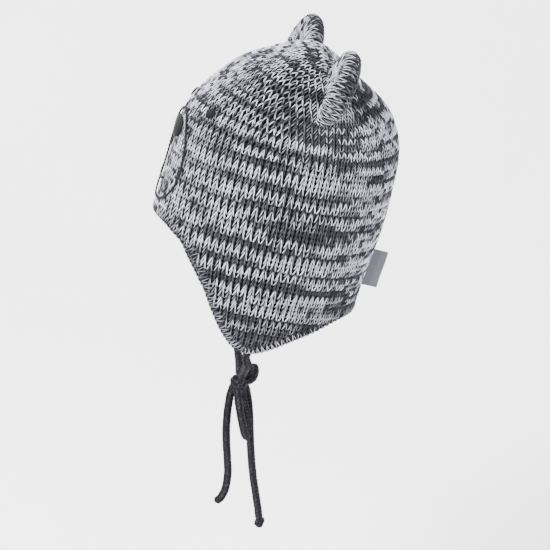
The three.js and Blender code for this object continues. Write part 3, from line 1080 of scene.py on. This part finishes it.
def knit_back_and_shade_colour(start):
    # Tone 0 is painted shade, near-black; higher tones give the paler back of the knit.
    fleck = start.noise(700, 2).between(0.35, 0.62)
    return (start.attribute("tone") * fleck).blend((0.003, 0.003, 0.004, 1), (0.34, 0.34, 0.38, 1))


def fibres(start):
    return start.noise(2000, 2)


backing_finish = finish_of("knit_back_and_painted_shade", knit_back_and_shade_colour, 0.95, fibres, 0.2 * MM)
shell_points, shell_faces, shell_tone = hat_shell()
backing = new_piece("knit_backing", shell_points * MM, shell_faces, backing_finish)
tone_layer = backing.data.attributes.new("tone", "FLOAT", "POINT")
tone_layer.data.foreach_set("value", shell_tone.astype(np.float32))
print("faces in the backing:", len(shell_faces))

# %% [markdown]
# ## The edging
#
# The hat's edge is bound with one round of long stitches that stand square to the edge and wrap
# round it. A bar fills the inside of the wrap, painted near-black as the shade between the
# stitches, and three rows of the same V stitch are laid on it: one on the outer face, one along
# the very edge and one inside.


# %% Bar and stitches of the edging
def edging_core():
    """The bar inside the wrap: an oval section carried round the rim."""
    columns, sides = 240, 12
    _, point, _, out, inward = rim_frame(np.arange(columns) / columns)
    spin = 2 * np.pi * np.arange(sides) / sides
    across = 3.2 + 2.7 * np.cos(spin)
    lift = -1.75 + 1.55 * np.sin(spin)
    ring = point[:, None] + inward[:, None] * across[None, :, None]
    ring = ring + out[:, None] * lift[None, :, None]
    return ring.reshape(-1, 3), ring_faces(columns, sides, closed=True)



# Near-black, darker than the yarn's dark ply: painted shade for the insides of the edging's wrap and of
# the ears.
def painted_gap_shade(start):
    fibre = start.noise(900, 2).between(0.3, 0.7)
    return fibre.blend((0.003, 0.003, 0.004, 1), (0.012, 0.012, 0.015, 1))


gap_shade_finish = finish_of("painted_gap_shade", painted_gap_shade, 0.95, fibres, 0.2 * MM)
core_points, core_faces = edging_core()
core = new_piece("edging_core", core_points * MM, core_faces, gap_shade_finish)

EDGE_SPACING = 3.6
edge_count = int(round(RIM_LENGTHS[-1] / EDGE_SPACING))
rows = []
for across, lift, facing, height, shift in [
    (3.6, -0.35, (1, 0), 0.95, 0.0),
    (1.1, -1.8, (0, -1), 0.55, 0.5),
    (3.6, -3.35, (-1, 0), 0.95, 0.0),
]:
    angle, point, along, out, inward = rim_frame(((np.arange(edge_count) + shift) / edge_count) % 1)
    at = point + inward * across + out * lift
    facing_out = out * facing[0] + inward * facing[1]
    upward = np.cross(facing_out, along) * (1 if facing[0] >= 0 else -1)
    size = np.tile([EDGE_SPACING / WALE, height, 1.0], (edge_count, 1))
    shade = 0.25 + 0.6 * around_noise(streak_knots, np.full(edge_count, 3), angle)
    rows.append(places(at, facing_out, upward, size, shade))
edge_places = {key: np.concatenate([row[key] for row in rows]) for key in rows[0]}
edging = lay("edging_stitches", edge_places, stitch, yarn, seed=4)

# %% [markdown]
# ## Ears
#
# Each ear is a small knitted bag, padded a little and sewn to the crown along its open edge. Its
# courses run round it from the middle of its front over the rim to the back, so the Vs cross the
# rim. The front was knitted from a pale stretch of yarn. A cushion fills each ear, painted
# near-black as the shade between the stitches, and what would be inside the crown is pressed
# flat on its face.

# %% Ear cushions and stitches
EAR_MIDDLE = np.array([43.0, 29.6, 95.5])
EAR_ALONG = unit(np.array([0.64, -0.405, -0.65]))
EAR_UP = unit(np.array([0.45, 0.35, 0.82]))
EAR_HALF_WIDTH, EAR_HEIGHT, EAR_HALF_THICKNESS, EAR_CUP = 20.5, 33.0, 8.0, 4.0
EAR_WALE = 4.2
CUSHION_UNDER = 1.4
CROWN_TOP = 126.5
FAR_OUT = 9.0
ON_FACE = 0.985


def rounded(value, power):
    return np.sign(value) * np.abs(value) ** power


def ear_point(turn, fold, side, grow=0.0):
    """A point on an ear. Fold runs from 0, the middle of its front, to pi, that of its back."""
    mirror = np.array([side, 1, 1])
    along, upward = EAR_ALONG * mirror, EAR_UP * mirror
    front = unit(np.cross(along, upward)) * side
    reach = np.abs(np.sin(fold))[..., None] ** 0.55
    turn = np.asarray(turn)[..., None]
    wide = (EAR_HALF_WIDTH + grow) * reach * rounded(np.sin(turn), 0.84)
    tall = (EAR_HEIGHT + grow) * reach * rounded(np.cos(turn), 0.84)
    thick = (EAR_HALF_THICKNESS + grow) * rounded(np.cos(fold)[..., None], 0.65) + EAR_CUP * reach**2
    return EAR_MIDDLE * mirror + along * wide + upward * tall + front * thick


def out_of_crown(points):
    """How far out each point lies, where 1 is the hat's outer face, and the axis beside it."""
    c, s = math.cos(TILT), math.sin(TILT)
    y = points[..., 1] * c - points[..., 2] * s
    level = points[..., 1] * s + points[..., 2] * c
    _, front, middle, back_edge, half = section(rise_at(np.minimum(level, CROWN_TOP)))
    depth = depth_of(y < middle, front, middle, back_edge)
    ratio = np.sqrt((points[..., 0] / half) ** 2 + ((y - middle) / depth) ** 2)
    return np.where(level > CROWN_TOP, FAR_OUT, ratio), lean(0 * level, middle, level)


def on_crown(points):
    """Points inside the crown, moved out to just under its face."""
    ratio, axis = out_of_crown(points)
    move = np.where(ratio < ON_FACE, ON_FACE / np.maximum(ratio, 0.05), 1.0)
    return axis + (points - axis) * move[..., None]


def ear_cushion(name, side):
    columns, rows = 64, 30
    turn = np.arange(columns) * 2 * np.pi / columns * side
    fold = np.linspace(0, np.pi, rows + 2)[1:-1]
    grid_turn, grid_fold = np.meshgrid(turn, fold)
    body = ear_point(grid_turn, grid_fold, side, -CUSHION_UNDER).reshape(-1, 3)
    poles = ear_point(np.zeros(2), np.array([0, np.pi]), side, -CUSHION_UNDER)
    points = on_crown(np.vstack([body, poles]))
    faces = ring_faces(rows, columns) + turned_in(cap_fan(0, columns, len(body)))
    faces += cap_fan(len(body) - columns, columns, len(body) + 1)
    return new_piece(name, points * MM, faces, gap_shade_finish)


def ear_places(side):
    """The stitches of an ear, in rings from the middle of its front over the rim to its back."""
    found = []
    fine = np.linspace(0, np.pi, 400)
    path = ear_point(np.full(400, 1.0), fine, side)
    far = distances(path)
    fine_turn = np.linspace(0, 2 * np.pi, 121)
    for fold in np.interp(np.arange(COURSE / 2, far[-1], COURSE), far, fine):
        steps = distances(ear_point(fine_turn, np.full(121, fold), side))
        count = max(3, int(round(steps[-1] / EAR_WALE)))
        turn = np.interp((np.arange(count) + 0.5) / count * steps[-1], steps, fine_turn)
        row = [turn, np.full(count, fold), np.full(count, steps[-1] / count)]
        found.append(np.stack(row, axis=1))
    turn, fold, wide = np.vstack(found).T
    at = ear_point(turn, fold, side)
    over = ear_point(turn, fold + 0.01, side) - ear_point(turn, fold - 0.01, side)
    round_it = ear_point(turn + 0.01, fold, side) - ear_point(turn - 0.01, fold, side)
    out = unit(np.cross(round_it, over)) * -side
    hub = EAR_MIDDLE * np.array([side, 1, 1])
    out = out * np.sign(np.einsum("ij,ij->i", out, at - hub))[:, None]
    back_part = np.clip((fold - 1.2) / 0.5, 0, 1)
    patch = np.sin(turn * 2.3 + 1) > 0.3
    shade = 0.12 + (0.2 + 0.6 * rng.random(len(turn)) ** 2) * back_part + 0.45 * patch * back_part
    size = np.stack([wide / WALE, np.full(len(turn), 1.06), np.ones(len(turn))], axis=1)
    made = places(at - out * STITCH_DEPTH, out, over, size, np.clip(shade, 0, 1))
    keep = out_of_crown(at)[0] > 0.99
    return {key: value[keep] for key, value in made.items()}


ears = {}
for name, side in [("ear_left", 1), ("ear_right", -1)]:
    cushion = ear_cushion(name + "_cushion", side)
    ears[name] = (cushion, lay(name + "_knit", ear_places(side), stitch, yarn, seed=7))

# %% [markdown]
# ## Embroidery
#
# The bear's face is sewn on top of the knit in black thread. Satin stitch is many straight
# strands side by side, each arched over the cloth, and a line is back stitch, strand after
# strand along it. One strand with an arch serves both, laid by the same tree as the knit.

# %% The face in thread
strand_along = np.linspace(-0.5, 0.5, 7)
strand_line = np.stack([0 * strand_along, strand_along, 0.35 * (1 - (2 * strand_along) ** 2)], axis=1)
strand = make_strand("strand", [strand_line], 0.36, 5)


def thread_black(start):
    around, along = start.uv("ply")
    ply = (around * 2 + along * 3).wave().between(-1, 1)
    sheen = ply * 0.6 + start.noise(1200, 1) * 0.4
    return sheen.blend((0.0006, 0.0006, 0.0008, 1), (0.0042, 0.004, 0.005, 1))


thread = finish_of("black_thread", thread_black, 0.55, fibres, 0.1 * MM)


def face_frame(x, level, lift):
    """Points on the face at a side shift and a level, and the ways out and up there."""
    rise = rise_at(level)
    angle = np.arcsin(x / section(rise)[4])
    _, upward, out = hat_slopes(angle, rise)
    return hat_point(angle, rise) + out * np.asarray(lift)[..., None], out, unit(upward)


def satin(x, level, half_width, half_height, spacing, lift):
    """Upright strands side by side that fill an oval."""
    across = np.arange(-half_width + spacing / 2, half_width, spacing)
    part = np.sqrt(1 - (across / half_width) ** 2)
    at, out, upward = face_frame(x + across, np.full(len(across), level), 0.95 + lift * part)
    size = np.stack([np.full(len(across), 0.9), 2 * half_height * part + 0.6, 0.5 + 1.4 * part], axis=1)
    return places(at, out, upward, size, np.full(len(across), 0.5))


def back_stitches(x, level, closed=False, length=2.6):
    """Strands end to end along a line on the face."""
    at, out, _ = face_frame(x, level, np.full(len(x), 1.0))
    if closed:
        at = np.vstack([at, at[:1]])
        out = np.vstack([out, out[:1]])
    far = distances(at)
    count = max(1, int(round(far[-1] / length)))
    marks = (np.arange(count) + 0.5) / count * far[-1]

    def sample(values, where):
        return np.stack([np.interp(where, far, values[:, k]) for k in range(3)], axis=1)

    ahead = sample(at, marks + 0.5) - sample(at, marks - 0.5)
    size = np.tile([2.7, far[-1] / count * 1.3, 1.9], (count, 1))
    return places(sample(at, marks), sample(out, marks), ahead, size, np.full(count, 0.5))


turn = np.linspace(0, 2 * np.pi, 145)[:-1]
muzzle_x = 20.5 * np.sin(turn) * (1 - 0.18 * np.cos(turn))
muzzle_level = 41 + 30 * np.cos(turn)
lip = np.array([(-1.6, 51.2), (-2.4, 48.5), (-3.6, 45.5)])
mouth = np.array([(-13, 27.5), (-9.5, 24.6), (-5.5, 23.3), (-2, 23.2), (1.2, 24.4)])
thread_pieces = {
    "eye_left": satin(26, 76, 3.0, 3.0, 0.44, 0.7),
    "eye_right": satin(-27, 76, 2.8, 2.8, 0.44, 0.1),
    "nose": satin(-1, 59, 8.6, 6.5, 0.5, 0.5),
    "muzzle_line": back_stitches(muzzle_x, muzzle_level, closed=True),
    "lip_line": back_stitches(lip[:, 0], lip[:, 1]),
    "mouth_line": back_stitches(mouth[:, 0], mouth[:, 1]),
}
embroidery = {}
for name, where in thread_pieces.items():
    embroidery[name] = lay("sewn_" + name, where, strand, thread, uneven=0.04, seed=9)

# %% [markdown]
# ## The label
#
# A short piece of woven ribbon is folded in half, and its two ends are caught in the seam down
# the back. It is bare. The ribbon is a thin sheet that goes out, turns and comes back, with the
# fine ribs of its weave as bump.

# %% Fold the ribbon
LABEL_TOP, LABEL_LENGTH, LABEL_REACH, RIBBON = -2.0, 25.5, 15.0, 0.42
IN_SEAM, LAYER_GAP, FOLD_DEPTH = 1.5, 0.55, 0.7
label_top = hat_point(np.pi, rise_at(LABEL_TOP))
label_end = hat_point(np.pi, rise_at(LABEL_TOP - LABEL_LENGTH))
label_down = unit(label_end - label_top)
label_out = unit(np.cross([1.0, 0, 0], label_down))


def folded_ribbon():
    """Points, faces and UVs of the ribbon, out along one layer and back along the other."""
    straight = np.linspace(-IN_SEAM, LABEL_REACH - FOLD_DEPTH, 16)
    path = [(-LAYER_GAP, reach) for reach in straight]
    for t in np.linspace(0.4, 2.7, 6):
        path.append((-LAYER_GAP * math.cos(t), LABEL_REACH - FOLD_DEPTH + 0.6 * math.sin(t)))
    path += [(LAYER_GAP, reach) for reach in np.linspace(LABEL_REACH - FOLD_DEPTH, -IN_SEAM, 16)]
    path = np.array(path)
    ahead = unit(np.gradient(path, axis=0))
    aside = np.stack([-ahead[:, 1], ahead[:, 0]], axis=1) * RIBBON / 2
    profile = np.vstack([path + aside, (path - aside)[::-1]])
    points, uvs = [], []
    columns = 30
    for i in range(columns + 1):
        share = i / columns
        bend = 0.5 * math.sin(2 * math.pi * (share * 0.8 + 0.1))
        for x, reach in profile:
            x = x + bend * max(0, reach / LABEL_REACH) ** 2
            at = label_top + label_down * (0.2 + share * (LABEL_LENGTH - 0.4)) + label_out * reach
            points.append(at + np.array([x, 0, 0]))
            uvs.append((share * LABEL_LENGTH, reach))
    around = len(profile)
    faces = ring_faces(columns + 1, around)
    last = columns * around
    half = around // 2
    for j in range(half - 1):
        a, b, c, d = j, j + 1, around - 2 - j, around - 1 - j
        faces.append((d, c, b, a))
        faces.append((last + a, last + b, last + c, last + d))
    return np.array(points), faces, np.array(uvs)


ribbon_points, ribbon_faces, ribbon_uv = folded_ribbon()
label = new_piece("label_ribbon", ribbon_points * MM, ribbon_faces)
weave = label.data.uv_layers.new(name="weave")
corners = np.array([loop.vertex_index for loop in label.data.loops])
weave.data.foreach_set("uv", ribbon_uv[corners].astype(np.float32).ravel())


def ribbon_colour(start):
    _, reach = start.uv("weave")
    rib = (reach * 1.1).wave().between(-1, 1) * 0.35 + start.noise(900, 2) * 0.5
    edge = reach.between(9, 11) * 0.25
    return (rib + edge).blend((0.050, 0.048, 0.062, 1), (0.105, 0.102, 0.125, 1))


def ribbon_ribs(start):
    along, reach = start.uv("weave")
    return (reach * 1.6).wave() * 0.6 + (along * 1.6).wave() * 0.4


ribbon_finish = finish_of("woven_ribbon", ribbon_colour, 0.6, ribbon_ribs, 0.08 * MM)
label.data.materials.append(ribbon_finish)

# %% [markdown]
# ## What each piece stands for
#
# The laid strands replace the part's plain solids, piece for piece, and each piece takes the
# place of the solid that it is drawn over. The whole hat is one body, so every piece rides on it.
# The two single strands that everything was laid from have done their work and are removed.

for helper in (stitch, strand):
    bpy.data.objects.remove(helper)


settled = set()


def settle(piece, *nodes, slot="yarn"):
    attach(piece, "root")
    if nodes:
        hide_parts(*nodes)
    settled.add(piece.name)


for piece in knit_pieces:
    settle(piece)
settle(backing, "knit_cap")
settle(core)
settle(edging, "edge_band")
for name, (cushion, cloth) in ears.items():
    settle(cushion, name)
    settle(cloth)
for name, piece in embroidery.items():
    settle(piece, name, slot="thread")
settle(label, "nape_label", slot="label_ribbon")
for piece in bow_turns:
    settle(piece, slot="tie_yarn")
settle(bow_turns[0], "bow_knot", slot="tie_yarn")
settle(end_turn, "end_knot", slot="tie_yarn")
for name, (piece, _, _) in cords.items():
    settle(piece, name, slot="tie_yarn")

print("pieces that ride on the hat's one body:", len(settled))

# %% [markdown]
# ## The cords' facts
#
# A cord is known by its length, its thickness, where it leaves and how it ends. Each tie goes
# from a flap into the bow's knot. Both loops start and end in that knot. One tail is bare at its
# end and the other is knotted. The list below names each cord's far end and the turns of cord it
# meets, and takes up its piece, centre line and length, but nothing more is done with them.

for name, far_end, others in [
    ("tie_left", "knot", bow_turns),
    ("tie_right", "knot", [bow_turns[0]]),
    ("loop_long", "knot", [bow_turns[1]]),
    ("loop_short", "knot", [bow_turns[2]]),
    ("tail_left", "bare", []),
    ("tail_right", "knot", [end_turn]),
]:
    piece, centres, length = cords[name]

print("cords declared:", len(cords))

# %% [markdown]
# ## Compare the sizes
#
# The cloth may stand a little proud of the part, but it must not change its size. Both boxes are
# printed side by side.

# %% Compare the boxes and finish
shown_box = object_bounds()
for i, axis in enumerate("XYZ"):
    cad, shown = cad_box[1][i] - cad_box[0][i], shown_box[1][i] - shown_box[0][i]
    print(axis, "part", round(cad / MM, 1), "mm, dressed", round(shown / MM, 1), "mm")
